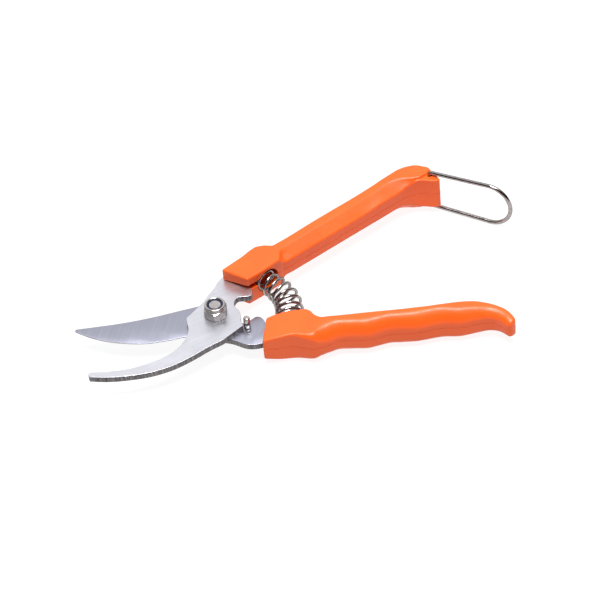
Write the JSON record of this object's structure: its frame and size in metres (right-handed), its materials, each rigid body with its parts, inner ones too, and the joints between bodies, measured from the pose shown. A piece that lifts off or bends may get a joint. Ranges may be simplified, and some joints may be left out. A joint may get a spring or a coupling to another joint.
{
  "type": "bypass pruner",
  "caption": "Hand pruner with a crossing cutting blade and hooked counter blade, a bolted pivot, a return spring, moulded handles and a wire closing bail.",
  "frame": {"origin": "on the pivot axis, at the underside of the bolt head", "axes": "+Z along the pivot axis from the bolt head to the lock nut; +X along the middle of the open handles, away from the blades"},
  "size_m": [0.2135, 0.1103, 0.0243],
  "materials": {
    "blade_steel": "ground and finely brushed",
    "bright_steel": "bright nickel plating",
    "spring_steel": "bright drawn wire",
    "orange_plastic": "satin moulded plastic",
    "nylon": "smooth dark nylon"
  },
  "bodies": {
    "hook_side": {"counter_blade": "blade_steel", "pivot_bolt": "bright_steel", "pivot_washer": "bright_steel", "lock_nut": "bright_steel", "lock_nut_nylon_ring": "nylon", "upper_handle_top_shell": "orange_plastic", "upper_handle_bottom_shell": "orange_plastic", "spring": "spring_steel"},
    "blade_side": {"cutting_blade": "blade_steel", "stop_pin": "bright_steel", "lower_handle_top_shell": "orange_plastic", "lower_handle_bottom_shell": "orange_plastic"},
    "bail": {"wire_bail": "spring_steel"}
  },
  "joints": [
    {"name": "pivot", "type": "hinge", "parent": "hook_side", "child": "blade_side", "pos_m": [0, 0, 0], "axis": [0, 0, 1], "range_deg": [0, 32], "stiffness_Nm_per_rad": 1, "springref_deg": -34.38, "deforming": ["spring"]},
    {"name": "bail_swing", "type": "hinge", "parent": "hook_side", "child": "bail", "pos_m": [0.1176, 0.0514, 0.01055], "axis": [0, 0, 1], "range_deg": [-60, 35]}
  ]
}
